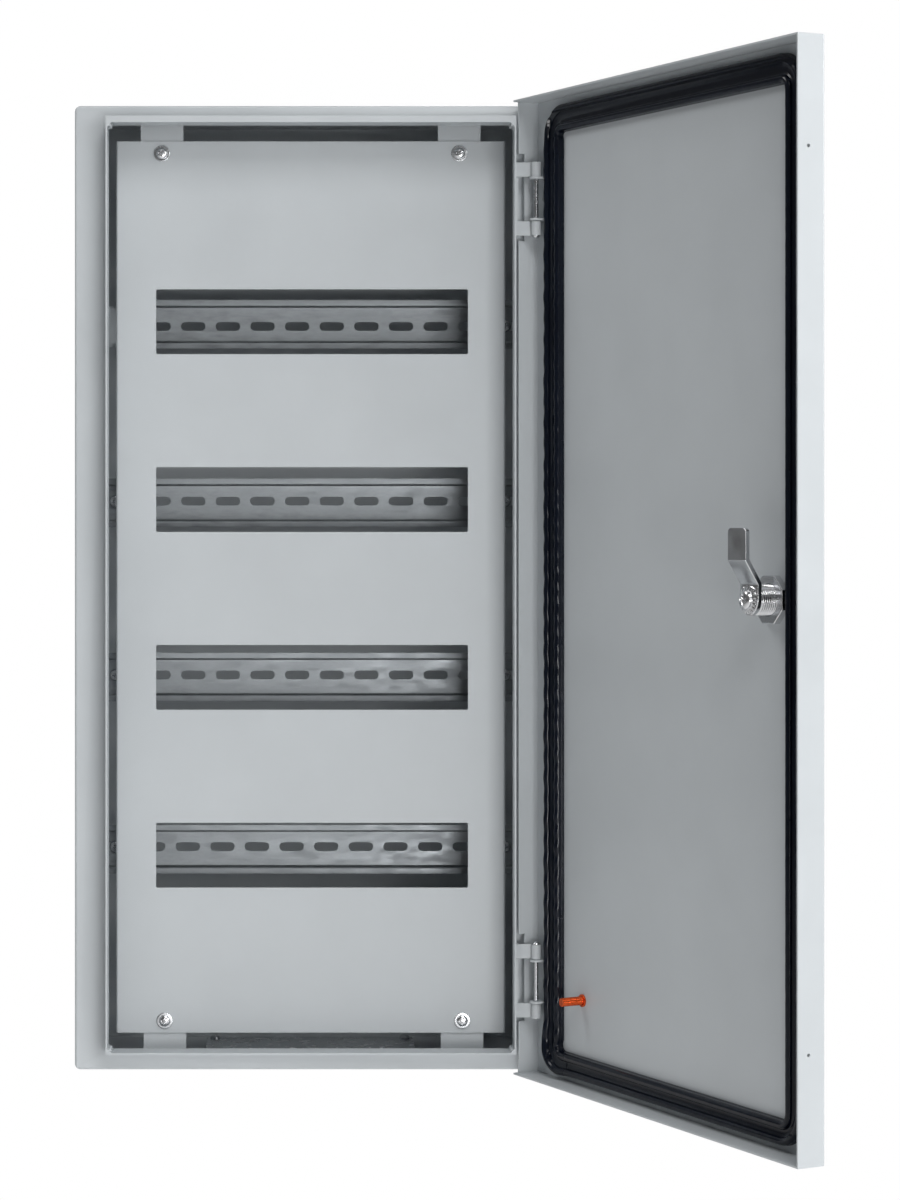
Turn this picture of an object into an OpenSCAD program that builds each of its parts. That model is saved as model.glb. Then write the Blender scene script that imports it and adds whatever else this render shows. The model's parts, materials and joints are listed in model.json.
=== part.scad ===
// Wall-mounted steel distribution enclosure with a gasketed door, open.
// Frame: origin at the centre of the wall-hole pattern on the back face,
// +Z up, +X towards the hinges, the front faces -Y.

/* [Cabinet] */
// Outer width of the cabinet
body_w = 329; // [300:1:380]
// Outer height of the cabinet
body_h = 672; // [660:1:720]
// Depth from the wall to the face of the rain gutter
body_d = 126; // [122:1:160]
// Sheet thickness of the cabinet
sheet = 1.2; // [1:0.1:1.4]
// Radius of the cabinet's four long corners
body_corner_r = 4.5; // [3:0.5:6]
// Outer radius of folded edges
fold_r = 1.8; // [1.5:0.1:2.2]

/* [Rain gutter and lip] */
// Gutter width beside the lip
gutter_side = 22.5; // [22:0.5:26]
// Gutter width above the lip
gutter_top = 9.2; // [8.5:0.1:10]
// Gutter width below the lip
gutter_bottom = 13.5; // [13:0.1:14]
// How far the lip stands forward of the gutter
lip_h = 18; // [16:0.5:18]
// Height of the flange turned up along the front of the upper lip
top_flange = 4.5; // [3:0.1:4.8]
// Weld fillet in the inner corners of the lip
lip_corner = 3; // [2:0.5:4]

/* [Door] */
// How far the door reaches past the cabinet's sides
door_overlap_side = 2.5; // [2:0.1:3]
// How far it reaches past the cabinet's top and bottom
door_overlap_end = 1.75; // [1.5:0.05:2.5]
// Height of the door's middle over the cabinet's middle
door_lift = 0.5; // [0:0.1:1]
// Depth of the door's folded edges
door_fold = 20.1; // [19:0.1:22]
// Depth of the folded edge on the hinge side
hinge_fold = 16.6; // [15:0.1:17]
// Sheet thickness of the door
door_sheet = 1.2; // [1:0.1:1.5]
// Space between the lip and the inside of the door
seal_gap = 5; // [5:0.1:6]
// Angle at which the door stands open
door_open = 116.1; // [0:0.1:130]
// Height of the notches that clear the hinge arms
notch_h = 60.4; // [56:0.1:70]
// Depth of those notches
notch_depth = 4.6; // [4:0.1:5.5]
// Distance of the paint drain holes from the free edge's rim
drain_hole_inset = 7.9; // [5:0.1:10]
// Radius of those holes
drain_hole_r = 1.1; // [0.8:0.1:1.6]

/* [Door gasket] */
// Width of the gasket
gasket_w = 17.5; // [16:0.5:18]
// Height of its two ridges
gasket_h = 6; // [5.5:0.1:6.5]
// How far the gasket's middle line lies below the lip's
gasket_drop = 0.9; // [0:0.1:1.2]
// Outer radius of the gasket's corners
gasket_corner_r = 20; // [16:1:30]

/* [Hinges] */
// Distance from the cabinet's short edges to the middles of the hinges
hinge_inset = 65.3; // [56:0.1:96]
// Height of the point midway between the hinges
hinge_mid_z = -1.2; // [-3:0.1:3]
// Height of one hinge over both knuckles
hinge_h = 50.8; // [46:0.1:56]
// Height of one knuckle
knuckle_h = 10; // [8:0.5:12]
// Radius of the hinge pin
pin_r = 1.8; // [1.6:0.1:2]
// Sheet thickness of the hinge parts
hinge_sheet = 1.5; // [1.2:0.1:1.6]
// Distance of the pin from the door's long edge
pin_inset = 11.2; // [11:0.1:11.5]
// Distance of the pin behind the lip's front edge
pin_setback = 2.4; // [2.2:0.1:2.6]
// Radial clearance of the pin
pin_clear = 0.05; // [0.03:0.01:0.1]

/* [Cam lock] */
// Distance of the lock's axis from the door's free edge
lock_inset = 50.5; // [50:0.5:54.5]
// Height of the lock's axis
lock_z = -0.5; // [-20:0.5:20]
// Radius of the lock's threaded body
lock_r = 9.75; // [9:0.25:10.5]
// Depth from the door's outer face to the end of the lock's body
lock_len = 17; // [16.5:0.1:19.5]
// Width across the flats of the eight-sided lock nut
lock_nut_af = 29.6; // [26:0.1:30]
// Radius of the turning core
rotor_r = 6; // [5.5:0.1:6.5]
// Reach of the cam from the lock's axis
cam_reach = 44; // [40:0.5:44.5]
// Width of the cam
cam_w = 19; // [16:0.5:20]
// Thickness of the cam
cam_t = 3; // [2.5:0.1:3]
// Space between the cam's tip and the back of the gutter when locked
cam_tip_gap = 0.7; // [0.5:0.1:1.2]

/* [Inner cover] */
// Distance from the cabinet's sides to the cover over the wiring
cover_gap_side = 27.7; // [26.5:0.1:33]
// Distance from the cabinet's top and bottom to the cover
cover_gap_end = 22.8; // [19:0.1:31]
// Distance of the cover behind the lip's front edge
cover_setback = 35.4; // [34:0.1:40]
// Sheet thickness of the cover
cover_sheet = 1.2; // [1:0.1:1.5]
// Depth of the cover's folded long edges
cover_return = 12; // [8:0.5:16]
// Width of a device window
window_w = 219.2; // [200:0.1:226]
// Height of a device window
window_h = 45.6; // [45:0.1:47]
// Sideways shift of the windows
window_shift = 1; // [-2:0.5:2]
// Distance between the two upper cover screws
cover_screw_span = 209; // [190:1:220]
// Distance from the cover's short edges to its screws
cover_screw_inset = 8.5; // [8:0.5:11]
// Shift of the lower screws towards the hinges, which keys the cover
cover_key_shift = 2; // [0:0.5:3]

/* [DIN rails] */
// Number of rows of devices
row_count = 4; // [2:1:4]
// Distance between rows
row_pitch = 125; // [120:1:132]
// Height of the middle of the rows
row_mid_z = -1; // [-4:0.5:4]
// Width of a rail across its flanges
rail_w = 35; // [35:0.1:35.2]
// Height of a rail's hat
rail_hat = 7.5; // [7.5:0.5:8.5]
// Outer width of a rail's hat
rail_hat_w = 27; // [26:0.1:27]
// Thickness of a rail
rail_t = 1; // [0.8:0.1:1.1]
// Distance from the cabinet's sides to the ends of a rail
rail_gap = 15.5; // [15.5:0.5:19]
// Distance from the cover's face back to the rail's web
rail_setback = 56.7; // [54:0.1:60]
// Pitch of the slots in a rail
slot_pitch = 25; // [22:1:30]
// Length of a slot
slot_len = 17.6; // [15:0.1:18]
// Width of a slot
slot_w = 6.3; // [6:0.1:6.5]
// How far the slots lie off the rail's middle
slot_offset = 1.2; // [0:0.1:2]

/* [Cable entry] */
// Width of the gland plate
gland_w = 150; // [120:1:160]
// Depth of the gland plate
gland_d = 86; // [76:1:88]

/* [Wall fixing] */
// Distance from the cabinet's sides to the wall holes
wall_hole_side = 39.5; // [34:0.5:54]
// Distance from the cabinet's top and bottom to the wall holes
wall_hole_end = 36; // [26:0.5:56]
// Radius of a wall hole
wall_hole_r = 4.5; // [3.5:0.1:5]

/* [Hidden] */
$fn = 48;

paint = [0.70, 0.72, 0.74];
zinc = [0.62, 0.64, 0.66];
chrome = [0.82, 0.83, 0.85];
rubber = [0.07, 0.08, 0.10];
copper = [0.80, 0.40, 0.22];
over = 1;                              // how far a cut runs past what it cuts

// Planes, as distances forward of the wall
gutter_y = body_d;
lip_y = body_d + lip_h;
door_in_y = lip_y + seal_gap;
door_out_y = door_in_y + door_sheet;
cover_y = lip_y - cover_setback;
rail_y = cover_y - rail_setback;       // front of a rail's web
rail_back_y = rail_y - rail_t;

// The lip's outer outline, and the upper side of its upper web
lip_x = body_w / 2 - gutter_side;
lip_top = body_h / 2 - gutter_top;
lip_bottom = -body_h / 2 + gutter_bottom;
lip_web = lip_top - top_flange + sheet;
inner_x = body_w / 2 - sheet;          // inside faces of the cabinet's walls
inner_z = body_h / 2 - sheet;

// Pieces that follow the cabinet's outline
door_w = body_w + 2 * door_overlap_side;
door_h = body_h + 2 * door_overlap_end;
cover_w = body_w - 2 * cover_gap_side;
cover_h = body_h - 2 * cover_gap_end;
rail_len = body_w - 2 * rail_gap;
wall_span_x = body_w - 2 * wall_hole_side;
wall_span_z = body_h - 2 * wall_hole_end;
hinge_spacing = body_h - 2 * hinge_inset;

// Door edges when it is shut, and the hinge pin's place
door_x = door_w / 2;
door_top = door_h / 2 + door_lift;
door_bottom = -door_h / 2 + door_lift;
pin_x = door_x - pin_inset;
pin_y = lip_y - pin_setback;
hinge_z = [hinge_mid_z + hinge_spacing / 2, hinge_mid_z - hinge_spacing / 2];
notch_z = [door_lift + hinge_spacing / 2, door_lift - hinge_spacing / 2];
roll_r = pin_r + pin_clear + hinge_sheet;
pin_head_h = 2.4;
pin_tail = 0.6;                        // how far the pin's plain end stands out
pin_head_step = 0.3;
bracket_gap = 0.3;                     // play between bracket ears and knuckles
bracket_edge = 2;                      // from the door's fold to the bracket
ear_r = 4.6;
ear_blend = 0.7;                       // share of the ear's radius where its slope starts
bracket_hole_r = 1.45;

// Gasket, its middle line over the middle of the lip's sheet
gasket_x = lip_x - sheet / 2;
gasket_top = lip_web - sheet / 2 - gasket_drop;
gasket_bottom = lip_bottom + sheet / 2 - gasket_drop;
ridge_r = 2.6;
ridge_edge = 0.3;                      // how far a ridge stays inside the gasket's edge
gasket_lean = 0.6;
seal_clear = 0.6;                      // between the lip's edge and the valley
groove_clear = 0.5;                    // between the lip's corners and their groove

// Lock
lock_x = -door_x + lock_inset;
nut_t = 5;
lock_flat_af = 18.4;
cam_square = 7;
cam_fit = 0.1;
cam_gap = 0.1;                         // play between the housing's end and the cam
cam_screw_r = 2.5;
cam_screw_grip = 9;
core_sink = 0.5;
key_pocket = 8;
key_pin_r = 1.5;
cam_washer_r = 8.75;
cam_washer_t = 1.6;
cam_head_r = 6;
cam_head_h = 3.2;
lock_flange_r = 14.5;
lock_flange_t = 4;
lock_seal_t = 1;
lock_seal_step = 1;                    // how far the seal stays inside the flange's rim
lock_edge_r = 1.5;
lock_hole_clear = 0.25;
nut_sides = 8;
key_wall = 1.4;
cam_ramp_start = 0.2;                  // from the hub's edge to the ramp
cam_edge_gap = 0.3;                    // from the ramp's end to the gutter's inner edge
cam_ramp_end = lip_x - sheet + lock_x - cam_edge_gap;
cam_bend = 0.8;
// Step in the cam that brings its tip behind the gutter
cam_crank = door_out_y - gutter_y + sheet + cam_tip_gap - lock_len - cam_gap;
cam_tip_r = 3;
cam_screw_spare = 1;                   // bottom of the tapped hole left free

// Fasteners
cover_bracket_w = 30;
cover_bracket_t = 1.5;
cover_bracket_foot = 20;
cover_bracket_edge = 8;                // from the screw to the bracket's free edge
cover_screw_r = 2.4;
cover_head_r = 4;
cover_head_h = 2.6;
cover_washer_r = 5.7;
cover_washer_t = 1;
cover_washer_clear = 0.2;
cover_hole_clear = 0.5;
cover_screw_spare = 4;                 // length past the bracket
window_corner_r = 1.2;
rail_screw_inset = 8.6;
rail_screw_x = rail_len / 2 - rail_screw_inset;
slot_play = 0.1;                       // from a screw to its slot's end
rail_screw_r = 2.4;
rail_head_r = 4.3;
rail_head_h = 3;
rail_screw_spare = 3;                  // length past the tab
rail_bend_r = 0.6;
slot_end = 3;                          // least length of a slot cut short by the rail's end
rail_bracket_t = 1.5;
rail_bracket_h = 30;
rail_bracket_tip_h = 26;
rail_bracket_edge = 16.4;              // from the screws to the tabs' tips
rail_bracket_reach = inner_x - rail_screw_x + rail_bracket_edge;
rail_bracket_foot = 18;
gland_t = 1.5;
gland_gasket_t = 2;
gland_y = 64;                          // middle of the gland plate
gland_border = 15;
gland_screw_inset = 6;
gland_screw_r = 2;
gland_head_r = 3.6;
gland_head_h = 2.4;
gland_corner_r = 4;
gland_hole_clear = 0.3;
gland_screw_short = 0.2;               // how far a screw's end stays inside the outer face
thread_fit = 0.05;                     // radial space round a screw's shank
earth_r = 3;
earth_len = 22;
earth_flange_r = 4.3;
earth_flange_t = 1.2;
earth_washer_r = 6.2;
earth_washer_t = 1.4;
earth_nut_af = 10;
earth_nut_t = 5;
earth_x = -70;
earth_z = -body_h / 2 + 71;
door_stud_len = 17;
door_stud_inset = 60.5;
door_stud_z = door_bottom + 58.65;

// Sideways shift of each rail, phase of its slots, and height over its window's middle
rail_shift = [11, 0, 0, 0];
slot_phase = [-9.4, -9.4, -9.4, -13.4];
rail_lift = [1.3, -2.2, -2.6, -1.5];
slot_side = [-1, 1, 1, 1];             // 1 where the slots lie above the rail's middle

function row_z(i) = row_mid_z + row_pitch * ((row_count - 1) / 2 - i);
function rail_z(i) = row_z(i) + rail_lift[i];
function slot_z(i) = rail_z(i) + slot_side[i] * slot_offset;

// ---- Shared shapes -------------------------------------------------------

// A flat shape in the X-Z plane, from `from_y` forward of the wall, `t` thick
module forward(from_y, t) {
    translate([0, -from_y, 0]) rotate([90, 0, 0]) linear_extrude(t) children();
}

// A flat shape in the Y-Z plane, extruded along +X
module along_x(len) {
    rotate([90, 0, 90]) linear_extrude(len) children();
}

// A rectangle given by its two corners
module rect(low, high) {
    translate(low) square([high[0] - low[0], high[1] - low[1]]);
}

// A rectangle about the origin with round corners
module rounded_rect(w, h, r) {
    square([w - 2 * r, h], center = true);
    square([w, h - 2 * r], center = true);
    for (sx = [-1, 1], sz = [-1, 1])
        translate([sx * (w / 2 - r), sz * (h / 2 - r)]) circle(r);
}

// What a folded edge of radius r leaves of a square corner at the origin
module edge_scrap(r) {
    difference() {
        translate([-over, -over]) square(r + over);
        translate([r, r]) circle(r);
    }
}

// Rounds the four front edges of a w by h box whose front is at `front_y`
module round_front_edges(w, low_z, high_z, front_y, r) {
    h = high_z - low_z;
    mid = (high_z + low_z) / 2;
    for (s = [0, 1])
        mirror([s, 0, 0])
            translate([-w / 2, -front_y, low_z - over]) linear_extrude(h + 2 * over) edge_scrap(r);
    for (s = [0, 1])
        translate([0, 0, mid]) mirror([0, 0, s])
            translate([w / 2 + over, -front_y, -h / 2]) rotate([0, -90, 0])
                linear_extrude(w + 2 * over) edge_scrap(r);
}

// A slot with round ends, `len` long and `w` wide, along X
module slot(len, w) {
    square([len - w, w], center = true);
    for (s = [-1, 1]) translate([s * (len - w) / 2, 0]) circle(w / 2);
}

// A quarter ring between radii r and r + t, from the -Y axis to the +X axis
module quarter_ring(r, t) {
    intersection() {
        difference() {
            circle(r + t);
            circle(r);
        }
        translate([0, -(r + t)]) square(r + t);
    }
}

// Places its children as the opened door carries them
module on_door() {
    translate([pin_x, -pin_y, 0]) rotate([0, 0, door_open]) translate([-pin_x, pin_y, 0]) children();
}

// A pan head with a cross recess, its seat at the origin, facing -Y
module pan_head(r, h) {
    rim = h * 0.45;
    dome = h - rim;
    ball = (r * r + dome * dome) / (2 * dome);
    arm = r * 0.28;                        // width of the recess's arms
    cross = r * 1.1;                       // their length
    rotate([90, 0, 0]) difference() {
        union() {
            cylinder(r = r, h = rim);
            intersection() {
                translate([0, 0, h - ball]) sphere(ball);
                translate([0, 0, rim]) cylinder(r = r, h = dome);
            }
        }
        for (a = [0, 90]) rotate([0, 0, a])
            translate([-cross / 2, -arm / 2, rim]) cube([cross, arm, h]);
    }
}

// ---- Cabinet -------------------------------------------------------------

// Folded and welded sheet-steel body with its rain gutter and lip
module enclosure_body() color(paint) difference() {
    union() {
        forward(0, sheet) rounded_rect(body_w, body_h, body_corner_r);
        forward(0, body_d) difference() {
            rounded_rect(body_w, body_h, body_corner_r);
            rounded_rect(2 * inner_x, 2 * inner_z, body_corner_r - sheet);
        }
        forward(gutter_y - sheet, sheet) difference() {
            rounded_rect(body_w, body_h, body_corner_r);
            lip_mouth();
        }
        forward(gutter_y - sheet, lip_h + sheet) difference() {
            rect([-lip_x, lip_bottom], [lip_x, lip_web]);
            lip_mouth();
        }
        forward(lip_y - sheet, sheet) rect([-lip_x, lip_web - sheet / 2], [lip_x, lip_top]);
    }
    round_front_edges(body_w, -body_h / 2, body_h / 2, gutter_y, fold_r);
    for (sx = [-1, 1], sz = [-1, 1])
        translate([sx * wall_span_x / 2, over, sz * wall_span_z / 2]) rotate([90, 0, 0])
            cylinder(r = wall_hole_r, h = sheet + 2 * over);
    translate([-gland_w / 2 + gland_border, -gland_y - gland_d / 2 + gland_border, -body_h / 2 - over])
        cube([gland_w - 2 * gland_border, gland_d - 2 * gland_border, sheet + 2 * over]);
    gland_screw_places() translate([0, 0, -over])
        cylinder(r = gland_screw_r + thread_fit, h = sheet + 2 * over);
}

// The opening inside the lip, with a weld fillet in each corner
module lip_mouth() {
    x = lip_x - sheet;
    top = lip_web - sheet;
    low = lip_bottom + sheet;
    c = lip_corner;
    polygon([[-x + c, low], [x - c, low], [x, low + c], [x, top - c],
             [x - c, top], [-x + c, top], [-x, top - c], [-x, low + c]]);
}

// Positions of the cover's screws: +1 for the upper pair, -1 for the lower
function cover_screw_x(sx, sz) = sx * cover_screw_span / 2 + (sz < 0 ? cover_key_shift : 0);
cover_screw_z = cover_h / 2 - cover_screw_inset;

module cover_screw_places() {
    for (sx = [-1, 1], sz = [-1, 1]) translate([cover_screw_x(sx, sz), 0, sz * cover_screw_z]) children();
}

// Four angle brackets under the top wall and over the bottom wall
module cover_brackets() color(paint)
    for (sx = [-1, 1], sz = [-1, 1]) translate([cover_screw_x(sx, sz), 0, 0])
        mirror([0, 0, sz < 0 ? 1 : 0]) cover_bracket();

module cover_bracket() {
    t = cover_bracket_t;
    front = -(cover_y - cover_sheet);
    low = cover_screw_z - cover_bracket_edge;
    difference() {
        translate([-cover_bracket_w / 2, 0, 0]) along_x(cover_bracket_w) union() {
            translate([front, low]) square([t, inner_z - low - fold_r]);
            translate([front + fold_r, inner_z - t]) square([cover_bracket_foot - fold_r, t]);
            translate([front + fold_r, inner_z - fold_r]) mirror([1, 0]) mirror([0, 1])
                quarter_ring(fold_r - t, t);
        }
        translate([0, front - over, cover_screw_z]) rotate([-90, 0, 0])
            cylinder(r = cover_screw_r + thread_fit, h = t + 2 * over);
    }
}

// ---- Rails and what holds them -------------------------------------------

// One tapered tab folded off a foot on the side wall; `side` is -1 left, 1 right
module rail_bracket(side, i) {
    t = rail_bracket_t;
    mirror([side < 0 ? 1 : 0, 0, 0]) difference() {
        union() {
            forward(rail_back_y - t, t) translate([inner_x, slot_z(i)])
                polygon([[0, -rail_bracket_h / 2], [0, rail_bracket_h / 2],
                         [-rail_bracket_reach / 2, rail_bracket_h / 2],
                         [-rail_bracket_reach, rail_bracket_tip_h / 2],
                         [-rail_bracket_reach, -rail_bracket_tip_h / 2],
                         [-rail_bracket_reach / 2, -rail_bracket_h / 2]]);
            translate([inner_x - t, -rail_back_y, slot_z(i) - rail_bracket_h / 2])
                cube([t, rail_bracket_foot, rail_bracket_h]);
        }
        translate([side * rail_screw_place(side, i), -rail_back_y - over, slot_z(i)]) rotate([-90, 0, 0])
            cylinder(r = rail_screw_r + thread_fit, h = t + 2 * over);
    }
}

// Sideways place of a rail's screw: where the tab wants it, kept inside the nearest slot
function rail_screw_place(side, i) =
    let (wanted = side > 0 ? rail_screw_x : rail_shift[i] - rail_screw_x,
         middle = slot_phase[i] + slot_pitch * round((wanted - slot_phase[i]) / slot_pitch),
         play = slot_len / 2 - rail_screw_r - slot_play)
    middle + max(-play, min(play, wanted - middle));

module rail_brackets_left() color(paint) for (i = [0 : row_count - 1]) rail_bracket(-1, i);

module rail_brackets_right() color(paint) for (i = [0 : row_count - 1]) rail_bracket(1, i);

// Section of a 35 mm top-hat rail: web at the back, flanges in front
module rail_section() {
    t = rail_t;
    r = rail_bend_r;
    half = rail_hat_w / 2;
    rect([0, -half + r + t], [t, half - r - t]);
    for (s = [0, 1]) mirror([0, s]) {
        translate([r + t, half - r - t]) mirror([1, 0]) mirror([0, 1]) quarter_ring(r, t);
        rect([r + t, half - t], [rail_hat - r - t, half]);
        translate([rail_hat - r - t, half + r]) quarter_ring(r, t);
        rect([rail_hat - t, half + r], [rail_hat, rail_w / 2]);
    }
}

// Perforated rail of row i
module din_rail(i) color(zinc) {
    left = rail_shift[i] - rail_len / 2;
    right = left + rail_len;
    first = ceil((left - slot_len / 2 + slot_end - slot_phase[i]) / slot_pitch);
    last = floor((right + slot_len / 2 - slot_end - slot_phase[i]) / slot_pitch);
    difference() {
        translate([left, -rail_back_y, rail_z(i)]) along_x(rail_len) mirror([1, 0]) rail_section();
        for (k = [first : last]) translate([slot_phase[i] + k * slot_pitch, 0, slot_z(i)])
            forward(rail_back_y - over, rail_t + 2 * over) slot(slot_len, slot_w);
    }
}

module din_rail_1() din_rail(0);
module din_rail_2() din_rail(1);
module din_rail_3() din_rail(2);
module din_rail_4() din_rail(3);

// Pan-head screws through the end slots of every rail
module rail_screws() color(zinc)
    for (i = [0 : row_count - 1], side = [-1, 1])
        translate([rail_screw_place(side, i), -rail_y, slot_z(i)]) {
            pan_head(rail_head_r, rail_head_h);
            rotate([-90, 0, 0])
                cylinder(r = rail_screw_r, h = rail_t + rail_bracket_t + rail_screw_spare);
        }

// ---- Inner cover ---------------------------------------------------------

module front_cover() color(paint) difference() {
    union() {
        forward(cover_y - cover_sheet, cover_sheet) square([cover_w, cover_h], center = true);
        for (sx = [-1, 1]) translate([sx * (cover_w - cover_sheet) / 2, 0, 0])
            forward(cover_y - cover_return, cover_return)
                square([cover_sheet, cover_h], center = true);
    }
    for (s = [0, 1]) mirror([s, 0, 0])
        translate([-cover_w / 2, -cover_y, -cover_h / 2 - over])
            linear_extrude(cover_h + 2 * over) edge_scrap(fold_r);
    for (i = [0 : row_count - 1]) translate([window_shift, 0, row_z(i)])
        forward(cover_y - cover_sheet - over, cover_sheet + 2 * over)
            rounded_rect(window_w, window_h, window_corner_r);
    cover_screw_places() translate([0, -cover_y - over, 0]) rotate([-90, 0, 0])
        cylinder(r = cover_screw_r + cover_hole_clear, h = cover_sheet + 2 * over);
}

module cover_washers() color(chrome) cover_screw_places()
    translate([0, -cover_y, 0]) rotate([90, 0, 0]) difference() {
        cylinder(r = cover_washer_r, h = cover_washer_t);
        translate([0, 0, -over])
            cylinder(r = cover_screw_r + cover_washer_clear, h = cover_washer_t + 2 * over);
    }

module cover_screws() color(chrome) cover_screw_places() translate([0, -cover_y - cover_washer_t, 0]) {
    pan_head(cover_head_r, cover_head_h);
    rotate([-90, 0, 0])
        cylinder(r = cover_screw_r, h = cover_washer_t + cover_sheet + cover_bracket_t + cover_screw_spare);
}

// ---- Cable entry in the bottom wall --------------------------------------

module gland_screw_places() {
    for (sx = [-1, 1], sy = [-1, 1])
        translate([sx * (gland_w / 2 - gland_screw_inset), -gland_y + sy * (gland_d / 2 - gland_screw_inset),
                   -body_h / 2])
            children();
}

module gland_plate() color(zinc) difference() {
    translate([0, -gland_y, -inner_z + gland_gasket_t]) linear_extrude(gland_t)
        rounded_rect(gland_w, gland_d, gland_corner_r);
    gland_screw_places() translate([0, 0, sheet])
        cylinder(r = gland_screw_r + gland_hole_clear, h = gland_gasket_t + gland_t + over);
}

module gland_gasket() color(rubber) difference() {
    translate([0, -gland_y, -inner_z]) linear_extrude(gland_gasket_t) difference() {
        rounded_rect(gland_w, gland_d, gland_corner_r);
        square([gland_w - 2 * gland_border, gland_d - 2 * gland_border], center = true);
    }
    gland_screw_places()
        cylinder(r = gland_screw_r + gland_hole_clear, h = sheet + gland_gasket_t + over);
}

module gland_screws() color(zinc) gland_screw_places() translate([0, 0, sheet + gland_gasket_t + gland_t]) {
    rotate([-90, 0, 0]) pan_head(gland_head_r, gland_head_h);
    rotate([180, 0, 0]) cylinder(r = gland_screw_r, h = sheet + gland_gasket_t + gland_t - gland_screw_short);
}

// ---- Earth connection of the cabinet -------------------------------------

// Threaded stud welded on by its flange, standing along +Z
module weld_stud(len) {
    cylinder(r = earth_flange_r, h = earth_flange_t);
    cylinder(r = earth_r, h = len);
}

// Places its children on the cabinet's earth stud, `up` above the back wall
module on_earth_stud(up) {
    translate([earth_x, -sheet - up, earth_z]) rotate([90, 0, 0]) children();
}

module earth_stud() color(copper) on_earth_stud(0) weld_stud(earth_len);

module earth_washer() color(zinc) on_earth_stud(earth_flange_t) difference() {
    cylinder(r = earth_washer_r, h = earth_washer_t);
    translate([0, 0, -over]) cylinder(r = earth_r + thread_fit, h = earth_washer_t + 2 * over);
}

module earth_nut() color(zinc) on_earth_stud(earth_flange_t + earth_washer_t) difference() {
    cylinder(r = earth_nut_af / 2 / cos(30), h = earth_nut_t, $fn = 6);
    translate([0, 0, -over]) cylinder(r = earth_r + thread_fit, h = earth_nut_t + 2 * over);
}

// ---- Hinges --------------------------------------------------------------

// Arm on the lip: a leg along the lip's outer face and two rolled knuckles
module hinge_arm(z) color(paint) {
    t = hinge_sheet;
    strap_y = pin_y - roll_r;            // back face of the straps
    translate([0, 0, z - hinge_h / 2]) linear_extrude(hinge_h)
        rect([lip_x, -strap_y - t / 2], [lip_x + t, -gutter_y]);
    for (s = [-1, 1]) translate([0, 0, z + s * (hinge_h - knuckle_h) / 2])
        linear_extrude(knuckle_h, center = true) difference() {
            union() {
                translate([pin_x, -pin_y]) circle(roll_r);
                rect([lip_x, -strap_y - t], [pin_x, -strap_y]);
            }
            translate([pin_x, -pin_y]) circle(pin_r + pin_clear);
        }
}

module hinge_arm_upper() hinge_arm(hinge_z[0]);
module hinge_arm_lower() hinge_arm(hinge_z[1]);

// Pin with a domed head on its inward end; `s` is 1 where the head is at the bottom
module hinge_pin(z, s) color(chrome) translate([pin_x, -pin_y, z]) mirror([0, 0, s > 0 ? 0 : 1]) {
    head_r = roll_r - pin_head_step;
    ball = (head_r * head_r + pin_head_h * pin_head_h) / (2 * pin_head_h);
    translate([0, 0, -hinge_h / 2]) {
        cylinder(r = pin_r, h = hinge_h + pin_tail);
        mirror([0, 0, 1]) intersection() {
            translate([0, 0, pin_head_h - ball]) sphere(ball);
            cylinder(r = head_r, h = pin_head_h);
        }
    }
}

module hinge_pin_upper() hinge_pin(hinge_z[0], 1);
module hinge_pin_lower() hinge_pin(hinge_z[1], -1);

// Channel on the door whose two ears turn on the pin
module door_hinge_bracket(z) color(paint) on_door() {
    t = hinge_sheet;
    h = hinge_h - 2 * knuckle_h - 2 * bracket_gap;
    right = door_x - door_sheet - bracket_edge;
    left = pin_x - ear_r;
    difference() {
        union() {
            translate([0, 0, z - h / 2]) linear_extrude(h) rect([left, -door_in_y], [right, -door_in_y + t]);
            for (s = [-1, 1]) translate([0, 0, z + s * (h - t) / 2]) linear_extrude(t, center = true) {
                translate([pin_x, -pin_y]) circle(ear_r);
                polygon([[left, -door_in_y], [right, -door_in_y], [right, -door_in_y + 2 * t],
                         [pin_x + ear_r * ear_blend, -pin_y + ear_r * ear_blend], [left, -pin_y]]);
            }
        }
        translate([pin_x, -pin_y, z - h / 2 - over]) cylinder(r = pin_r + pin_clear, h = h + 2 * over);
        translate([pin_x, -door_in_y - over, z]) rotate([-90, 0, 0])
            cylinder(r = bracket_hole_r, h = t + 2 * over);
    }
}

module door_hinge_bracket_upper() door_hinge_bracket(hinge_z[0]);
module door_hinge_bracket_lower() door_hinge_bracket(hinge_z[1]);

// ---- Door ----------------------------------------------------------------

// Tray-shaped door leaf, its hinge edge shallower and notched for the arms
module door_leaf() color(paint) on_door() difference() {
    translate([0, 0, door_lift]) union() {
        forward(door_in_y, door_sheet) square([door_w, door_h], center = true);
        forward(door_out_y - door_fold, door_fold) difference() {
            square([door_w, door_h], center = true);
            square([door_w - 2 * door_sheet, door_h - 2 * door_sheet], center = true);
        }
    }
    round_front_edges(door_w, door_bottom, door_top, door_out_y, fold_r);
    translate([door_x - door_sheet - over, -door_out_y + hinge_fold, door_bottom + door_sheet])
        cube([door_sheet + 2 * over, door_fold, door_h - 2 * door_sheet]);
    for (z = notch_z)
        translate([door_x - door_sheet - over, -door_out_y + hinge_fold - notch_depth, z - notch_h / 2])
            cube([door_sheet + 2 * over, door_fold, notch_h]);
    for (z = notch_z) translate([-door_x - over, -door_out_y + door_fold - drain_hole_inset, z])
        rotate([0, 90, 0]) cylinder(r = drain_hole_r, h = door_sheet + 2 * over);
    translate([lock_x, -door_out_y - over, lock_z]) rotate([-90, 0, 0])
        cylinder(r = lock_r + lock_hole_clear, h = door_sheet + 2 * over);
}

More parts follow.
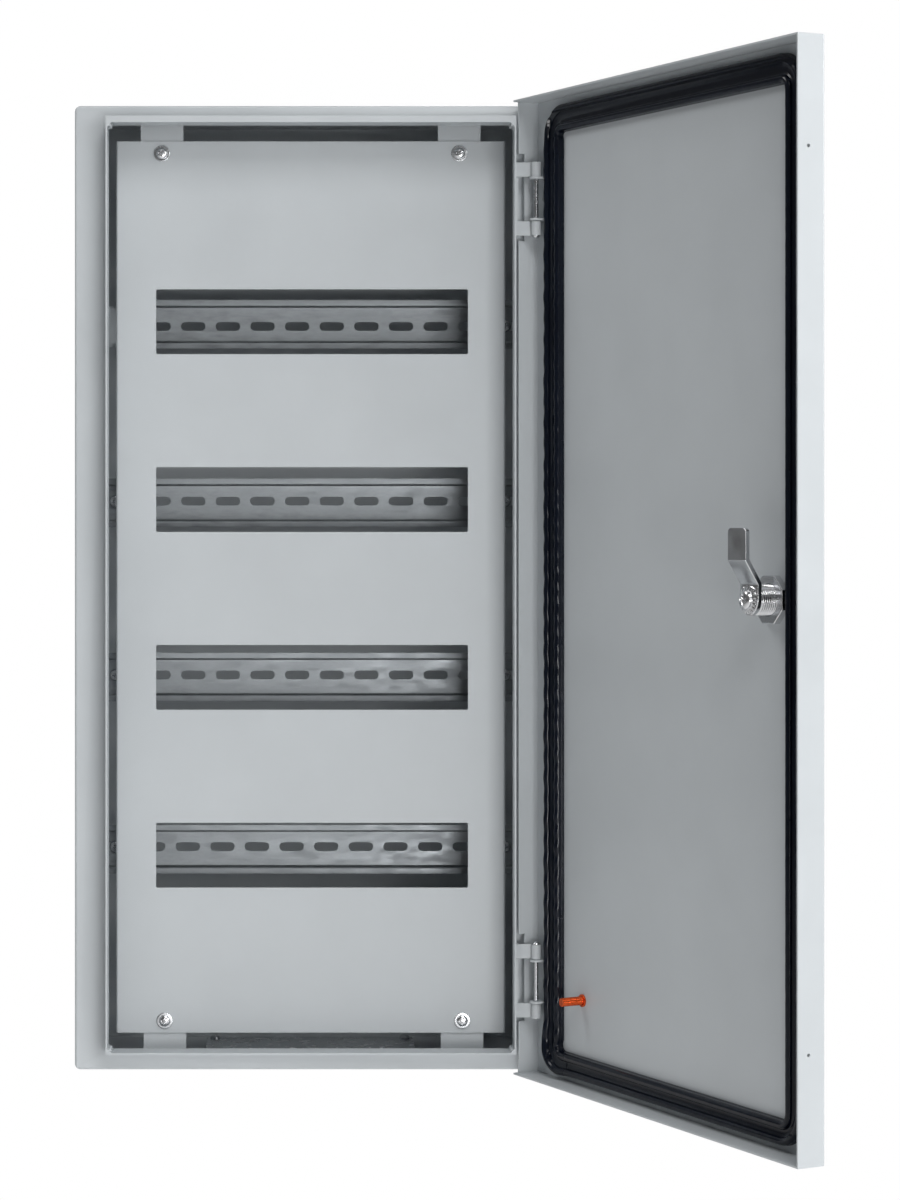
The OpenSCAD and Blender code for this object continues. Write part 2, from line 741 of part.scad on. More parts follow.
// Section of the gasket: two ridges with the lip's valley between them
module gasket_section() {
    half = gasket_w / 2;
    ridge_at = half - ridge_r - ridge_edge;
    valley = seal_gap - seal_clear;
    polygon([[-half, 0], [half, 0], [half - gasket_lean, gasket_h - ridge_r],
             [ridge_at - ridge_r, valley], [-ridge_at + ridge_r, valley],
             [-half + gasket_lean, gasket_h - ridge_r]]);
    for (s = [-1, 1]) translate([s * ridge_at, gasket_h - ridge_r]) circle(ridge_r);
}

// What the lip has pressed out of the ridges where its square corners cross them
module lip_groove() {
    g = groove_clear;
    forward(lip_y - gasket_h, gasket_h + g) difference() {
        rect([-lip_x - g, lip_bottom - g], [lip_x + g, lip_top + g]);
        rect([-lip_x + sheet + g, lip_bottom + sheet + g], [lip_x - sheet - g, lip_web - sheet - g]);
    }
}

// Extruded gasket bonded round the inside of the door
module door_gasket() color(rubber) on_door() difference() {
    gasket_ring();
    lip_groove();
}

module gasket_ring() {
    r = gasket_corner_r - gasket_w / 2;
    half_x = gasket_x - r;
    top = gasket_top - r;
    low = gasket_bottom + r;
    translate([0, -door_in_y, 0]) {
        for (s = [-1, 1]) translate([s * (half_x + r), 0, low]) linear_extrude(top - low) gasket_section();
        for (z = [top + r, low - r]) translate([-half_x, 0, z])
            along_x(2 * half_x) mirror([1, 0]) rotate(90) gasket_section();
        for (s = [0, 1], up = [0, 1]) mirror([s, 0, 0]) translate([half_x, 0, up == 1 ? top : low])
            mirror([0, 0, up == 1 ? 0 : 1]) rotate([-90, 0, 0]) mirror([0, 1, 0])
                rotate_extrude(angle = 90) translate([r, 0]) gasket_section();
    }
}

// Weld stud for the door's earth lead
module door_earth_stud() color(copper) on_door()
    translate([door_x - door_stud_inset, -door_in_y, door_stud_z]) rotate([-90, 0, 0])
        weld_stud(door_stud_len);

// ---- Cam lock ------------------------------------------------------------

// Places its children on the lock's axis, +Z running into the cabinet from the door's outer face
module on_lock() {
    on_door() translate([lock_x, -door_out_y, lock_z]) rotate([-90, 0, 0]) children();
}

// Threaded housing with its outside flange
module lock_housing() color(chrome) on_lock() difference() {
    union() {
        translate([0, 0, -lock_seal_t - lock_flange_t]) cylinder(r = lock_flange_r, h = lock_flange_t);
        translate([0, 0, -lock_seal_t]) cylinder(r = lock_r, h = lock_seal_t + lock_len);
    }
    translate([0, 0, -lock_seal_t - lock_flange_t - over])
        cylinder(r = rotor_r + pin_clear, h = lock_len + lock_seal_t + lock_flange_t + 2 * over);
    for (s = [0, 1]) mirror([s, 0, 0]) translate([lock_flat_af / 2, -lock_r, door_sheet + nut_t])
        cube([lock_r, 2 * lock_r, lock_len]);
    translate([0, 0, -lock_seal_t - lock_flange_t]) rotate_extrude() difference() {
        translate([lock_flange_r - lock_edge_r, -over]) square(lock_edge_r + over);
        translate([lock_flange_r - lock_edge_r, lock_edge_r]) circle(lock_edge_r);
    }
}

module lock_seal() color(rubber) on_lock() translate([0, 0, -lock_seal_t]) difference() {
    cylinder(r = lock_flange_r - lock_seal_step, h = lock_seal_t);
    translate([0, 0, -over]) cylinder(r = lock_r, h = lock_seal_t + 2 * over);
}

module lock_nut() color(chrome) on_lock() translate([0, 0, door_sheet]) difference() {
    rotate([0, 0, 180 / nut_sides])
        cylinder(r = lock_nut_af / 2 / cos(180 / nut_sides), h = nut_t, $fn = nut_sides);
    translate([0, 0, -over]) cylinder(r = lock_r + thread_fit, h = nut_t + 2 * over);
}

// Core with a two-winged key pin in front and a square tang for the cam
module lock_core() color(chrome) on_lock() {
    front = -lock_seal_t - lock_flange_t + core_sink;
    tang = cam_t - cam_gap;
    difference() {
        union() {
            translate([0, 0, front]) cylinder(r = rotor_r, h = lock_len - front);
            translate([-cam_square / 2, -cam_square / 2, lock_len]) cube([cam_square, cam_square, tang]);
        }
        translate([0, 0, front - over]) cylinder(r = rotor_r - key_wall, h = key_pocket + over);
        translate([0, 0, lock_len + tang - cam_screw_grip])
            cylinder(r = cam_screw_r + thread_fit, h = cam_screw_grip + over);
    }
    translate([0, 0, front + core_sink]) cylinder(r = key_pin_r, h = key_pocket);
    translate([-2 * key_pin_r, -key_pin_r / 2, front + core_sink])
        cube([4 * key_pin_r, key_pin_r, key_pocket]);
}

// Cranked cam: hub on the tang, tip behind the gutter when turned
module lock_cam() color(chrome) on_lock() {
    low = lock_len + cam_gap;
    hub = cam_w / 2;
    ramp_from = hub + cam_ramp_start;
    ramp_to = cam_ramp_end;
    tip_r = cam_tip_r;
    difference() {
        intersection() {
            translate([-cam_w / 2, 0, 0]) along_x(cam_w)
                polygon([[hub, low], [hub, low + cam_t], [-ramp_from, low + cam_t],
                         [-ramp_to, low + cam_t + cam_crank], [-cam_reach, low + cam_t + cam_crank],
                         [-cam_reach, low + cam_crank], [-ramp_to - cam_bend, low + cam_crank],
                         [-ramp_from - cam_bend, low]]);
            linear_extrude(lock_len * 2) union() {
                circle(hub);
                rect([-hub, -cam_reach + tip_r], [hub, 0]);
                rect([-hub + tip_r, -cam_reach], [hub - tip_r, -cam_reach + tip_r]);
                for (s = [-1, 1]) translate([s * (hub - tip_r), -cam_reach + tip_r]) circle(tip_r);
            }
        }
        translate([0, 0, low + cam_t / 2])
            cube([cam_square + cam_fit, cam_square + cam_fit, cam_t + 2 * over], center = true);
    }
}

module cam_washer() color(chrome) on_lock() translate([0, 0, lock_len + cam_gap + cam_t]) difference() {
    cylinder(r = cam_washer_r, h = cam_washer_t);
    translate([0, 0, -over]) cylinder(r = cam_screw_r + thread_fit, h = cam_washer_t + 2 * over);
}

module cam_screw() color(chrome) on_lock() translate([0, 0, lock_len + cam_gap + cam_t + cam_washer_t]) {
    rotate([-90, 0, 0]) pan_head(cam_head_r, cam_head_h);
    rotate([180, 0, 0]) cylinder(r = cam_screw_r, h = cam_washer_t + cam_screw_grip - cam_screw_spare);
}

enclosure_body();
cover_brackets();
rail_brackets_left();
rail_brackets_right();
din_rail_1();
din_rail_2();
din_rail_3();
din_rail_4();
rail_screws();
front_cover();
cover_screws();
cover_washers();
gland_plate();
gland_gasket();
gland_screws();
earth_stud();
earth_washer();
earth_nut();
hinge_arm_upper();
hinge_arm_lower();
hinge_pin_upper();
hinge_pin_lower();
door_leaf();
door_gasket();
door_hinge_bracket_upper();
door_hinge_bracket_lower();
door_earth_stud();
lock_housing();
lock_seal();
lock_nut();
lock_core();
lock_cam();
cam_washer();
cam_screw();
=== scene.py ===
"""Looks of a wall-mounted steel distribution enclosure with its door open.

The file follows the enclosure as it is put together: the studio, the cabinet, its rails,
the inner cover, the cable entry and earth stud, the hinges, then the door with its gasket
and its cam lock. Lengths are metres, in the frame of the cabinet: origin at the middle of
the wall holes, +Z up, +X towards the hinges, the front faces -Y.
"""
import json
import math

import bmesh
import bpy
import numpy as np
from mathutils import Matrix, Vector


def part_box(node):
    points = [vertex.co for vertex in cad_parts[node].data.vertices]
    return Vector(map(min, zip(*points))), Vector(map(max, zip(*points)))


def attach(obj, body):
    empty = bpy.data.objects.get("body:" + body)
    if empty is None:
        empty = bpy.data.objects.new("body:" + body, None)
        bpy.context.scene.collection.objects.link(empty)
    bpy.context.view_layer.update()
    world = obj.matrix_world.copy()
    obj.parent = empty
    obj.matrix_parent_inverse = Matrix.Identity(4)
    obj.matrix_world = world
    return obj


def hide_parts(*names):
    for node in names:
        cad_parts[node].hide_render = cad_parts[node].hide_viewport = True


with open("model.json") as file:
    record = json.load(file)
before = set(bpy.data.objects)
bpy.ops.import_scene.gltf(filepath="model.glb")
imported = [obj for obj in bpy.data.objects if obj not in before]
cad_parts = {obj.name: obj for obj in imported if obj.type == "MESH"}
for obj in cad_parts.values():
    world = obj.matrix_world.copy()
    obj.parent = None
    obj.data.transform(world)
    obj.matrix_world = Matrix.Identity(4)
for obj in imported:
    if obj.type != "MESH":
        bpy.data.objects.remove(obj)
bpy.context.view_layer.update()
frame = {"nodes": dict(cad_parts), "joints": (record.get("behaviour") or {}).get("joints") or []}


NODES = frame["nodes"]
MM = 0.001

# ---- Studio ----------------------------------------------------------------
# A camera at eye level, a little left of the cabinet's middle, and seven square softboxes
# three metres away: three in front, one on each side, one overhead and one behind.
# Sky and floor look plain white. The sky lights little, but shows as pale grey in metal.
CAMERA_AT = (-0.01167, -2.2228, 0.05491)
FOCAL_MM, SENSOR_MM = 90.24, 36.0
FRAME_SHIFT = (0.1300, -0.0759)

camera = bpy.data.objects.new("camera", bpy.data.cameras.new("camera"))
camera.location = CAMERA_AT
camera.rotation_euler = (math.radians(90), 0, 0)
camera.data.lens = FOCAL_MM
camera.data.sensor_width = SENSOR_MM
camera.data.shift_x, camera.data.shift_y = FRAME_SHIFT
bpy.context.scene.collection.objects.link(camera)
bpy.context.scene.camera = camera
bpy.context.scene.view_settings.view_transform = "Standard"

SKY_FILL, SKY_IN_GLOSS = 0.01, 0.12


def white_to_camera(tree, lit, output):
    """Shows plain white to the camera, and the node `lit` to every other ray."""
    path = tree.nodes.new("ShaderNodeLightPath")
    white = tree.nodes.new("ShaderNodeEmission")
    mix = tree.nodes.new("ShaderNodeMixShader")
    tree.links.new(path.outputs["Is Camera Ray"], mix.inputs["Fac"])
    tree.links.new(lit.outputs[0], mix.inputs[1])
    tree.links.new(white.outputs[0], mix.inputs[2])
    tree.links.new(mix.outputs[0], output.inputs["Surface"])


world = bpy.data.worlds.new("studio_sky")
world.use_nodes = True
sky = world.node_tree.nodes["Background"]
sky.inputs["Color"].default_value = (1.0, 1.0, 1.0, 1)
reflected = world.node_tree.nodes.new("ShaderNodeMath")
reflected.operation = "MULTIPLY_ADD"
reflected.inputs[1].default_value, reflected.inputs[2].default_value = SKY_IN_GLOSS, SKY_FILL
ray = world.node_tree.nodes.new("ShaderNodeLightPath")
world.node_tree.links.new(ray.outputs["Is Glossy Ray"], reflected.inputs[0])
world.node_tree.links.new(reflected.outputs[0], sky.inputs["Strength"])
white_to_camera(world.node_tree, sky, world.node_tree.nodes["World Output"])
bpy.context.scene.world = world

LAMP_AIM = Vector((0.1, -0.15, 0.0))
LAMP_REACH, LAMP_SIDE = 3.0, 1.2


def softbox(name, azimuth, elevation, watts):
    """A square area lamp, `azimuth` degrees right of the front and `elevation` degrees up."""
    turn, rise = math.radians(azimuth), math.radians(elevation)
    away = Vector((math.sin(turn) * math.cos(rise), -math.cos(turn) * math.cos(rise),
                   math.sin(rise)))
    lamp = bpy.data.objects.new(name, bpy.data.lights.new(name, "AREA"))
    lamp.data.shape = "RECTANGLE"
    lamp.data.size = lamp.data.size_y = LAMP_SIDE
    lamp.data.energy = watts
    lamp.location = LAMP_AIM + LAMP_REACH * away
    lamp.rotation_euler = (-away).to_track_quat("-Z", "Y").to_euler()
    lamp.visible_camera = False
    bpy.context.scene.collection.objects.link(lamp)


softbox("low_front_softbox", 12, -15, 49)
softbox("high_front_softbox", 12, 45, 33)
softbox("high_left_softbox", -90, 45, 26)
softbox("right_front_softbox", 35, 12, 25)
softbox("right_side_softbox", 90, 15, 44)
softbox("overhead_softbox", 0, 80, 7)
softbox("rear_softbox", 165, 30, 26)

FLOOR_Z, FLOOR_REACH, FLOOR_WHITE = -0.62, 14.0, (0.96, 0.96, 0.96)


def new_finish(name):
    """A new material with its node tree and its shader."""
    finish = bpy.data.materials.new(name)
    finish.use_nodes = True
    return finish, finish.node_tree, finish.node_tree.nodes["Principled BSDF"]


def stage_finish():
    """Matte white floor that meets the sky without an edge."""
    finish, tree, shader = new_finish("studio_white")
    shader.inputs["Base Color"].default_value = (*FLOOR_WHITE, 1)
    shader.inputs["Roughness"].default_value = 1.0
    shader.inputs["Specular IOR Level"].default_value = 0.0
    white_to_camera(tree, shader, tree.nodes["Material Output"])
    return finish


floor = bpy.data.objects.new("floor", bpy.data.meshes.new("floor"))
floor.data.from_pydata(
    [(x, y, FLOOR_Z) for x, y in ((-1, -1), (1, -1), (1, 1), (-1, 1))], [], [(0, 1, 2, 3)])
floor.data.transform(Matrix.Diagonal((FLOOR_REACH, FLOOR_REACH, 1, 1)))
floor.data.materials.append(stage_finish())
bpy.context.scene.collection.objects.link(floor)

# ---- Cabinet ----------------------------------------------------------------
# The body is folded from one sheet of steel, with a rain gutter and a welded lip round its
# mouth. Body, brackets, cover and door leaf share a light grey polyester powder coat: a
# satin film with the fine, shallow waviness of a baked coat, slightly shinier in patches.
PAINT = (0.53, 0.56, 0.58)
PATCH_DARKER, PATCH_LIGHTER, PATCH_WAVES = 0.965, 1.02, 14.0
COAT_GLOSSY, COAT_MATTE, COAT_IOR, COAT_SPECULAR = 0.36, 0.46, 1.48, 0.45
PEEL_WAVES, PEEL_STRENGTH, PEEL_DEPTH = 900.0, 0.25, 0.05 * MM
WELD = 1e-6
FLAT_WITHIN = math.radians(0.5)
EASE_OVER = math.radians(30)


def noise(tree, scale, detail, streak=(1, 1, 1)):
    """Noise on the piece's own metres, `scale` waves to the metre, drawn out where streak < 1."""
    place = tree.nodes.new("ShaderNodeTexCoord")
    stretch = tree.nodes.new("ShaderNodeMapping")
    texture = tree.nodes.new("ShaderNodeTexNoise")
    stretch.inputs["Scale"].default_value = streak
    texture.inputs["Scale"].default_value = scale
    texture.inputs["Detail"].default_value = detail
    tree.links.new(place.outputs["Object"], stretch.inputs["Vector"])
    tree.links.new(stretch.outputs["Vector"], texture.inputs["Vector"])
    return texture.outputs["Fac"]


def ramp(tree, factor, low, high, at=(0.3, 0.7)):
    """Carries a factor to a colour between `low` and `high`."""
    band = tree.nodes.new("ShaderNodeValToRGB")
    for stop, place, value in zip(band.color_ramp.elements, at, (low, high)):
        stop.position = place
        stop.color = (*value, 1) if isinstance(value, tuple) else (value, value, value, 1)
    tree.links.new(factor, band.inputs["Fac"])
    return band.outputs["Color"]


def bump(tree, height, strength, distance):
    """A bump of `distance` metres driven by a height from 0 to 1."""
    node = tree.nodes.new("ShaderNodeBump")
    node.inputs["Strength"].default_value = strength
    node.inputs["Distance"].default_value = distance
    tree.links.new(height, node.inputs["Height"])
    return node.outputs["Normal"]


def powder_coat(name, colour):
    """Satin powder coat: patchy tone, patchy gloss and a fine baked waviness."""
    finish, tree, shader = new_finish(name)
    patch = noise(tree, PATCH_WAVES, 4)
    darker = tuple(PATCH_DARKER * c for c in colour)
    lighter = tuple(PATCH_LIGHTER * c for c in colour)
    tree.links.new(ramp(tree, patch, darker, lighter), shader.inputs["Base Color"])
    tree.links.new(ramp(tree, patch, COAT_GLOSSY, COAT_MATTE), shader.inputs["Roughness"])
    peel = bump(tree, noise(tree, PEEL_WAVES, 3), PEEL_STRENGTH, PEEL_DEPTH)
    tree.links.new(peel, shader.inputs["Normal"])
    shader.inputs["IOR"].default_value = COAT_IOR
    shader.inputs["Specular IOR Level"].default_value = COAT_SPECULAR
    return finish


def hung(piece, finish, slot, body, *nodes):
    """Gives a finished piece its material and its body, and hides the CAD nodes that it stands for.
    """
    piece.data.materials.clear()
    piece.data.materials.append(finish)
    bpy.context.scene.collection.objects.link(piece)
    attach(piece, body)
    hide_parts(*nodes)
    return piece


def merged(name):
    """A CAD node's triangles as one joined mesh, flat stretches as single faces."""
    shell = bmesh.new()
    shell.from_mesh(NODES[name].data)
    bmesh.ops.remove_doubles(shell, verts=shell.verts, dist=WELD)
    bmesh.ops.dissolve_limit(shell, angle_limit=FLAT_WITHIN, verts=shell.verts, edges=shell.edges)
    return shell


def deburred(name, finish, slot, body, ease=0.25 * MM, steps=2):
    """The shape of a CAD node with its sharp edges rounded by `ease`."""
    shell = merged(name)
    mesh = bpy.data.meshes.new(name + "_deburred")
    shell.to_mesh(mesh)
    shell.free()
    mesh.polygons.foreach_set("use_smooth", np.ones(len(mesh.polygons), bool))
    mesh.set_sharp_from_angle(angle=EASE_OVER)
    piece = bpy.data.objects.new(mesh.name, mesh)
    rounding = piece.modifiers.new("eased_edges", "BEVEL")
    rounding.width = ease
    rounding.segments = steps
    rounding.limit_method = "ANGLE"
    rounding.angle_limit = EASE_OVER
    rounding.harden_normals = True
    return hung(piece, finish, slot, body, name)


paint = powder_coat("grey_powder_coat", PAINT)
for sheet_part in ("enclosure_body", "cover_brackets", "rail_brackets_left", "rail_brackets_right"):
    deburred(sheet_part, paint, "cabinet_paint", "cabinet")

# ---- Weld beads of the lip -----------------------------------------------------
# The lip's four strips are welded in its inner corners. Each bead is a lumpy round that
# stands proud of the corner from the gutter to the lip's front, and is painted over.
GUTTER_SIDE, GUTTER_TOP, GUTTER_BOTTOM = 22.5 * MM, 9.2 * MM, 13.5 * MM
LIP_HEIGHT, TOP_FLANGE, SHEET = 18 * MM, 4.5 * MM, 1.2 * MM
BEAD_R, BEAD_LUMP, BEAD_INSET, BEAD_START = 1.0 * MM, 0.12 * MM, 1.6 * MM, 1.6 * MM
BEAD_STEPS, BEAD_SIDES, BEAD_TAPER = 40, 16, 8
SLOW_LUMPS, FAST_LUMPS, FAST_SHARE = 34, 41, 0.6
CREASE = math.radians(42)
body_low, body_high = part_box("enclosure_body")
LIP_FRONT = body_low[1]
LIP_X = body_high[0] - GUTTER_SIDE
LIP_TOP = body_high[2] - GUTTER_TOP
LIP_WEB = LIP_TOP - TOP_FLANGE + SHEET
LIP_BOTTOM = body_low[2] + GUTTER_BOTTOM


def skin(name, *grids):
    """A closed mesh from grids of points, (rows, columns, 3) each, its open edges merged."""
    points, faces, start = [], [], 0
    for grid in grids:
        rows, columns = grid.shape[:2]
        at = start + np.arange(rows * columns).reshape(rows, columns)
        quads = np.stack([at[:-1, :-1], at[1:, :-1], at[1:, 1:], at[:-1, 1:]], -1)
        points.append(grid.reshape(-1, 3))
        faces.append(quads.reshape(-1, 4))
        start += rows * columns
    mesh = bpy.data.meshes.new(name)
    mesh.from_pydata(np.concatenate(points).tolist(), [], np.concatenate(faces).tolist())
    shell = bmesh.new()
    shell.from_mesh(mesh)
    bmesh.ops.remove_doubles(shell, verts=shell.verts, dist=WELD)
    bmesh.ops.dissolve_degenerate(shell, edges=shell.edges, dist=WELD)
    bmesh.ops.recalc_face_normals(shell, faces=shell.faces)
    shell.to_mesh(mesh)
    shell.free()
    mesh.polygons.foreach_set("use_smooth", np.ones(len(mesh.polygons), bool))
    mesh.set_sharp_from_angle(angle=CREASE)
    return bpy.data.objects.new(name, mesh)


def weld_bead(side, up):
    """Grid of one bead: a circle of lumpy radius beside the corner, closed at both ends."""
    along = np.linspace(0, 1, BEAD_STEPS)[:, None]
    angle = np.linspace(0, 2 * math.pi, BEAD_SIDES + 1)[None, :]
    swell = np.clip(BEAD_TAPER * np.sin(math.pi * along), 0, 1) ** 0.5
    ripple = np.sin(SLOW_LUMPS * along + side) + FAST_SHARE * np.sin(FAST_LUMPS * along + 2 * up)
    radius = swell * (BEAD_R + BEAD_LUMP * ripple)
    x = side * (LIP_X - SHEET - BEAD_INSET) + radius * np.cos(angle)
    corner_z = LIP_WEB - SHEET if up > 0 else LIP_BOTTOM + SHEET
    z = corner_z - up * BEAD_INSET + radius * np.sin(angle)
    y = LIP_FRONT + BEAD_START + (LIP_HEIGHT - BEAD_START) * along + 0 * angle
    return np.stack([x, y, z], -1)


beads = skin("lip_weld_beads", *[weld_bead(s, u) for s in (-1, 1) for u in (-1, 1)])
beads.data.materials.append(paint)
bpy.context.scene.collection.objects.link(beads)
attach(beads, "cabinet")

# ---- DIN rails ---------------------------------------------------------------
# Four top-hat rails rolled from zinc-coated strip: a dull, mottled grey, a little drawn out
# along the strip. Each end is held to a folded tab by a pan-head screw.
RAIL_ZINC = (0.385, 0.41, 0.43)
BRIGHT_ZINC = (0.70, 0.715, 0.735)
GRAIN_GLOSSY, GRAIN_MATTE, GRAIN_STRENGTH = 0.75, 1.3, 0.2
SCREW_PITCH, THREAD_DEPTH, THREAD_STEPS, UNDER_HEAD = 0.8 * MM, 0.35 * MM, 8, 0.02 * MM
HEAD_STEPS, HEAD_FLARE, HEAD_ROUND = 26, 0.85, 0.55
RECESS_DEPTH, RECESS_LENGTH, RECESS_WIDTH, RECESS_SLOPE = 0.55, 1.15, 0.32, 0.25
RAIL_HEAD_H, RAIL_SHANK_R = 3 * MM, 2.4 * MM


def plated(name, colour, rough, streak=(1, 1, 1), scale=60.0, depth=0.01, dull=0.82):
    """Metal plate with a grain, `dull` times as bright in its dark parts, `depth` mm deep.

    The grain has `scale` waves to the metre and is drawn out along an axis of small `streak`.
    """
    finish, tree, shader = new_finish(name)
    grain = noise(tree, scale, 6, streak=streak)
    darker = tuple(dull * c for c in colour)
    tree.links.new(ramp(tree, grain, darker, colour), shader.inputs["Base Color"])
    tree.links.new(ramp(tree, grain, rough * GRAIN_GLOSSY, rough * GRAIN_MATTE),
                   shader.inputs["Roughness"])
    tree.links.new(bump(tree, grain, GRAIN_STRENGTH, depth * MM), shader.inputs["Normal"])
    shader.inputs["Metallic"].default_value = 1.0
    return finish


def turned(radius, height, around):
    """Grid of a turned part about +Z, with a column for each angle of `around`."""
    radius, height, angle = np.broadcast_arrays(radius, height, around)
    return np.stack([radius * np.cos(angle), radius * np.sin(angle), height], -1)


def circle(count):
    """Angles once round a circle as one row of `count` steps."""
    return np.linspace(0, 2 * math.pi, count + 1)[None, :]


def thread(radius, depth, pitch, height, around):
    """Radius of a thread: a rounded V that climbs one pitch for each turn."""
    return radius - depth * (0.5 + 0.5 * np.cos(2 * math.pi * height / pitch - around))


def threaded_rod(radius, low, high, pitch, depth, around):
    """Grid of a threaded rod from height `low` to `high`, both ends closed and chamfered."""
    steps = max(THREAD_STEPS, int(abs(high - low) / pitch * THREAD_STEPS))
    height = np.linspace(low, high, steps)[:, None]
    end = np.minimum(abs(height - low), abs(height - high))
    cut = np.clip(end / depth, 0, 1)
    flank = thread(radius, depth * cut, pitch, height, around) - depth * (1 - cut)
    middle = turned(flank, height, around)
    first, last = (turned(0 * around, at, around) for at in (low, high))
    return np.concatenate([first, middle, last])


def cross_slot(x, y, length, width):
    """1 inside a cross recess and 0 outside it, with sloping sides."""
    edge = RECESS_SLOPE * width

    def arm(along, across):
        return (np.clip((length / 2 - abs(along)) / edge, 0, 1)
                * np.clip((width / 2 - abs(across)) / edge, 0, 1))
    return np.maximum(arm(x, y), arm(y, x))


def pan_screw(head_r, head_h, shank_r, length, count):
    """Grids of a cross-recessed pan-head screw, its seat at the origin, facing +Z.

    The head is a superellipse turned about +Z, lowered where the cross recess lies.
    """
    around = circle(count)
    swing = np.linspace(0, math.pi / 2, HEAD_STEPS)[:, None]
    radius = head_r * np.sin(swing) ** HEAD_FLARE
    dome = head_h * np.cos(swing) ** HEAD_ROUND
    x, y = radius * np.cos(around), radius * np.sin(around)
    recess = cross_slot(x, y, RECESS_LENGTH * head_r, RECESS_WIDTH * head_r)
    height = dome - RECESS_DEPTH * head_h * recess
    head = turned(radius, height, around)
    seat = turned(0 * around, 0, around)
    rod = threaded_rod(shank_r, -length, -UNDER_HEAD, SCREW_PITCH, THREAD_DEPTH, around)
    return [np.concatenate([head, seat]), rod]


# Where the axes of a piece point, its last one being the way that it faces.
FACES_FRONT = np.array([[1, 0, 0], [0, 0, 1], [0, -1, 0]], float)
FACES_UP = np.eye(3)
FACES_BACK = np.array([[1, 0, 0], [0, 0, -1], [0, 1, 0]], float)


def set_at(grid, turn, at):
    """Turns a grid so that its axes become the rows of `turn`, and sets its origin at `at`."""
    return grid @ turn + np.array(at, float)


def solids(name):
    """The corners of each separate solid of a CAD node."""
    shell = merged(name)
    left, boxes = set(shell.verts), []
    while left:
        reached, front = set(), [left.pop()]
        while front:
            reached.update(front)
            front = list({edge.other_vert(v) for v in front for edge in v.link_edges} - reached)
        left -= reached
        places = np.array([v.co for v in reached])
        boxes.append((places.min(0), places.max(0)))
    shell.free()
    return sorted(boxes, key=lambda box: tuple(np.round(box[0], 4)))


def screw_set(node, finish, slot, head_h, shank_r, count, upright=False):
    """One cross-recessed screw on every solid of a CAD node, its head towards -Y or +Z."""
    grids = []
    for low, high in solids(node):
        middle = (low + high) / 2
        if upright:
            at = (middle[0], middle[1], high[2] - head_h)
            length = at[2] - low[2]
        else:
            at = (middle[0], low[1] + head_h, middle[2])
            length = high[1] - at[1]
        turn = FACES_UP if upright else FACES_FRONT
        screw = pan_screw((high[0] - low[0]) / 2, head_h, shank_r, length, count)
        grids += [set_at(grid, turn, at) for grid in screw]
    return hung(skin(node + "_cut", *grids), finish, slot, "cabinet", node)


rail_zinc = plated("rolled_zinc_strip", RAIL_ZINC, rough=0.46, streak=(0.3, 1, 1), scale=260.0,
                   dull=0.68)
bright_zinc = plated("bright_zinc", BRIGHT_ZINC, rough=0.24, scale=120.0, depth=0.003)
for rail in ("din_rail_1", "din_rail_2", "din_rail_3", "din_rail_4"):
    deburred(rail, rail_zinc, "rail_zinc", "cabinet", ease=0.15 * MM)
screw_set("rail_screws", bright_zinc, "zinc_plate", RAIL_HEAD_H, RAIL_SHANK_R, 32)

# ---- Inner cover ---------------------------------------------------------------
# A flat cover with folded long edges and one window for each row of devices. Four pan-head
# screws with rounded chrome washers hold it to brackets inside the top and bottom walls.
NICKEL_CHROME = (0.80, 0.805, 0.82)
COVER_HEAD_H, COVER_SHANK_R = 2.6 * MM, 2.4 * MM
WASHER_BORE, WASHER_EASE = 2.6 * MM, 0.46 * MM


def rounded_band(inner, outer, low, high, ease, steps=5):
    """Closed section of a ring as columns of radius and height, its corners rounded."""
    bend = np.linspace(0, math.pi / 2, steps)
    spots = [(outer - ease, high - ease, 0), (inner + ease, high - ease, 1),
             (inner + ease, low + ease, 2), (outer - ease, low + ease, 3)]
    radius = np.concatenate([r + ease * np.cos(bend + q * math.pi / 2) for r, h, q in spots])
    height = np.concatenate([h + ease * np.sin(bend + q * math.pi / 2) for r, h, q in spots])
    return np.append(radius, radius[0])[:, None], np.append(height, height[0])[:, None]


nickel = plated("nickel_chrome", NICKEL_CHROME, rough=0.18, scale=40.0, depth=0.004)
deburred("front_cover", paint, "cover_paint", "cabinet")
screw_set("cover_screws", nickel, "chrome", COVER_HEAD_H, COVER_SHANK_R, 64)
washer_rings = []
for low, high in solids("cover_washers"):
    ring_r, ring_h = rounded_band(WASHER_BORE, (high[0] - low[0]) / 2, 0, high[1] - low[1],
                                  WASHER_EASE)
    middle = (low + high) / 2
    washer_rings.append(set_at(turned(ring_r, ring_h, circle(64)), FACES_FRONT,
                               (middle[0], high[1], middle[2])))
hung(skin("cover_washers_turned", *washer_rings), bright_zinc, "chrome", "cabinet", "cover_washers")

# ---- Cable entry and earth stud --------------------------------------------------
# A zinc-plated plate closes the cable entry in the bottom wall, on a rubber gasket. The
# earth stud is copper-plated, threaded, and welded to the back wall by its flange.
RUBBER = (0.0030, 0.0048, 0.0100)
RUBBER_LIGHTER, RUBBER_PATCHES = 1.4, 25.0
RUBBER_GLOSSY, RUBBER_MATTE, RUBBER_SPECULAR = 0.14, 0.20, 0.26
RIPPLE_WAVES, RIPPLE_STRENGTH, RIPPLE_DEPTH = 900.0, 0.04, 0.01 * MM
GLAND_HEAD_H, GLAND_SHANK_R = 2.4 * MM, 2 * MM
COPPER_PLATE = (0.74, 0.115, 0.03)
STUD_R, STUD_FLANGE_R, STUD_FLANGE_T = 3 * MM, 4.3 * MM, 1.2 * MM
STUD_PITCH, STUD_DEPTH, STUD_EASE = 1.0 * MM, 0.30 * MM, 0.3 * MM


